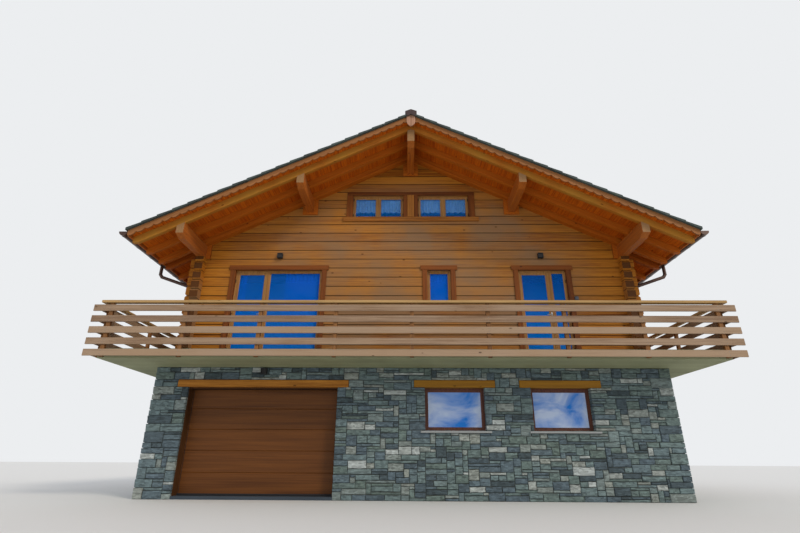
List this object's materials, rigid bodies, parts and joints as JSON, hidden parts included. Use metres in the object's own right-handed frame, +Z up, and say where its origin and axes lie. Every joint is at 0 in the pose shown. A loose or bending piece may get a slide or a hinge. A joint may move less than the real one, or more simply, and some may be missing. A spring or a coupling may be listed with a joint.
{
  "type": "alpine chalet",
  "caption": "Alpine log house on a stone ground storey, with a wide purlin roof, scalloped bargeboards and a slatted balcony on the front and sides.",
  "frame": {"origin": "middle of the plan, on the lowest ground at the foot of the walls", "axes": "+X along the gable front to the viewer's right, +Y from the front to the rear, +Z up"},
  "size_m": [13.4, 12.4, 8.665],
  "materials": {
    "gneiss": "split gneiss laid in random courses",
    "concrete": "fair-faced concrete",
    "sill_stone": "sawn stone",
    "log_spruce": "planed spruce, honey stain",
    "casing_wood": "planed larch, red-brown stain",
    "roof_timber": "planed spruce, orange stain",
    "soffit_board": "planed boards, orange stain",
    "bargeboard_wood": "weathered planed board",
    "railing_wood": "weathered larch",
    "lintel_wood": "planed beam, amber stain",
    "frame_wood": "varnished window wood",
    "dark_frame_wood": "dark stained window wood",
    "garage_panel": "wood-look coated steel",
    "window_glass": "clear glazing",
    "roof_tile": "dark concrete tile",
    "ridge_tile": "dark brown ridge tile",
    "gutter_metal": "brown coated sheet",
    "curtain_cloth": "sheer woven cotton",
    "seal_rubber": "black sealing strip",
    "fixing_steel": "zinc-coated steel",
    "lamp_metal": "black powder coat"
  },
  "bodies": {
    "root": {"ground_floor": "concrete", "balcony_slab": "concrete", "stone_front_wall": "gneiss", "stone_rear_wall": "gneiss", "stone_left_wall": "gneiss", "stone_right_wall": "gneiss", "window_sills": "sill_stone", "lintels": "lintel_wood", "garage_frame": "dark_frame_wood", "garage_door": "garage_panel", "front_log_wall": "log_spruce", "rear_log_wall": "log_spruce", "left_log_wall": "log_spruce", "right_log_wall": "log_spruce", "attic_floor": "soffit_board", "left_balcony_door": "frame_wood", "right_balcony_door": "frame_wood", "upper_window_frames": "frame_wood", "ground_window_frames": "dark_frame_wood", "other_window_frames": "frame_wood", "front_glass": "window_glass", "other_glass": "window_glass", "front_casings": "casing_wood", "other_casings": "casing_wood", "gable_trims": "roof_timber", "ridge_purlin": "roof_timber", "mid_purlin_left": "roof_timber", "mid_purlin_right": "roof_timber", "low_purlin_left": "roof_timber", "low_purlin_right": "roof_timber", "rafters_left": "roof_timber", "rafters_right": "roof_timber", "roof_boards_left": "soffit_board", "roof_boards_right": "soffit_board", "roof_tiles_left": "roof_tile", "roof_tiles_right": "roof_tile", "ridge_cap": "ridge_tile", "eave_boards": "roof_timber", "front_bargeboards": "bargeboard_wood", "rear_bargeboards": "bargeboard_wood", "ridge_pendants": "bargeboard_wood", "gutter_left": "gutter_metal", "gutter_right": "gutter_metal", "downpipe_left": "gutter_metal", "downpipe_right": "gutter_metal", "front_railing": "railing_wood", "left_railing": "railing_wood", "right_railing": "railing_wood", "railing_ends": "railing_wood", "wall_lamps": "lamp_metal"}
  },
  "joints": []
}
